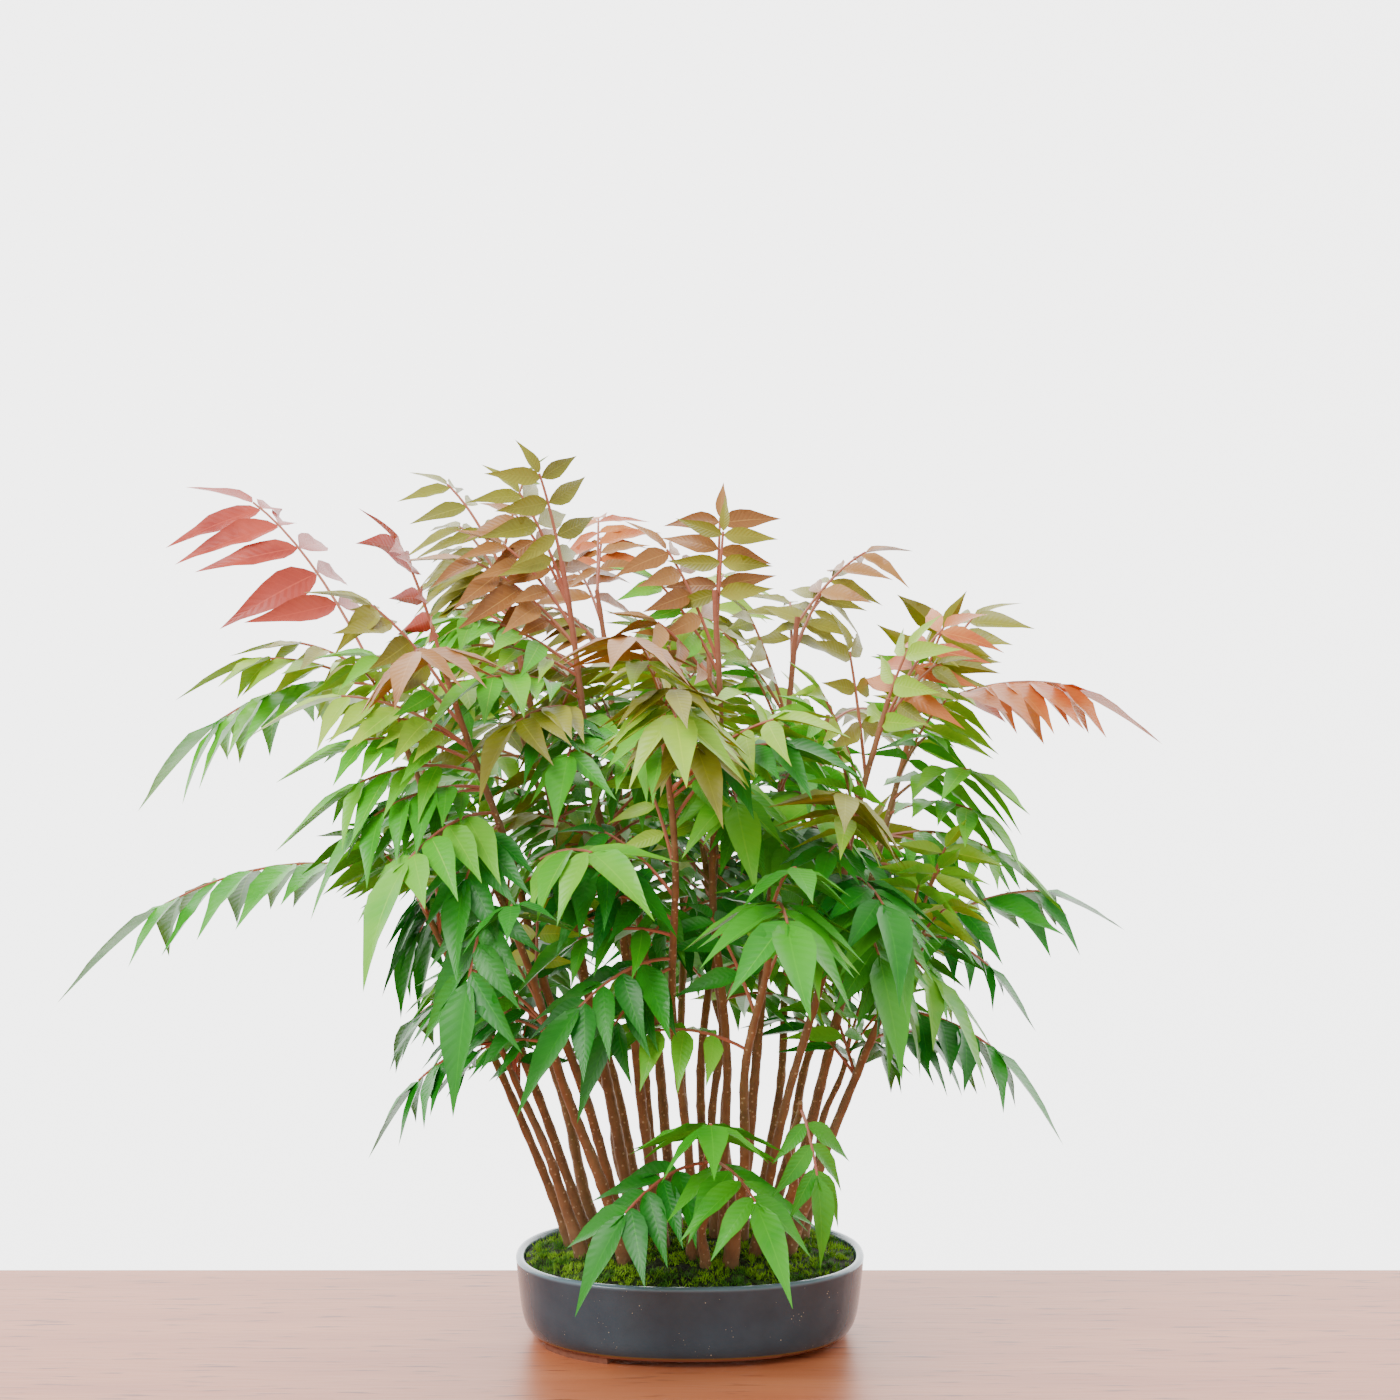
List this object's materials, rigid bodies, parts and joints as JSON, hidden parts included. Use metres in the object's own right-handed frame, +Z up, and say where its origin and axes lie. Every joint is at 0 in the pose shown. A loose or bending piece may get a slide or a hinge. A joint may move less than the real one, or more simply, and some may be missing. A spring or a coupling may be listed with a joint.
{
  "type": "sumac bonsai",
  "caption": "Clump bonsai of thin fanning stems with compound autumn leaves, rooted in a low mossy mound in an oval glazed pot on four low feet.",
  "frame": {"origin": "on the table, under the middle of the plant's whole width and depth", "axes": "+X along the pot's length and the widest spread of the leaves, to the right as seen from the front; -Y towards the front; +Z up"},
  "size_m": [0.5608, 0.4202, 0.4579],
  "materials": {
    "glaze": "glossy, speckled",
    "moss": "matte",
    "bark": "matte",
    "young_leaf": "satin",
    "grown_leaf": "satin"
  },
  "bodies": {
    "root": {"pot": "glaze", "moss_bed": "moss", "stem_01": "bark", "stem_02": "bark", "stem_03": "bark", "stem_04": "bark", "stem_05": "bark", "stem_06": "bark", "stem_07": "bark", "stem_08": "bark", "stem_09": "bark", "stem_10": "bark", "stem_11": "bark", "stem_12": "bark", "stem_13": "bark", "stem_14": "bark", "stem_15": "bark", "stem_16": "bark", "stem_17": "bark", "stem_18": "bark", "stem_19": "bark", "stem_20": "bark", "stem_21": "bark", "stem_22": "bark", "stem_23": "bark", "stem_24": "bark", "stem_25": "bark", "stem_26": "bark", "stem_27": "bark", "stem_28": "bark", "foliage_01": "young_leaf", "foliage_02": "young_leaf", "foliage_03": "young_leaf", "foliage_04": "young_leaf", "foliage_05": "young_leaf", "foliage_06": "young_leaf", "foliage_07": "young_leaf", "foliage_08": "young_leaf", "foliage_09": "young_leaf", "foliage_10": "young_leaf", "foliage_11": "young_leaf", "foliage_12": "young_leaf", "foliage_13": "young_leaf", "foliage_14": "young_leaf", "foliage_15": "grown_leaf", "foliage_16": "grown_leaf", "foliage_17": "grown_leaf", "foliage_18": "grown_leaf", "foliage_19": "grown_leaf", "foliage_20": "grown_leaf", "foliage_21": "grown_leaf", "foliage_22": "grown_leaf", "foliage_23": "grown_leaf", "foliage_24": "grown_leaf", "foliage_25": "grown_leaf", "foliage_26": "grown_leaf", "foliage_27": "grown_leaf", "foliage_28": "grown_leaf"}
  },
  "joints": []
}
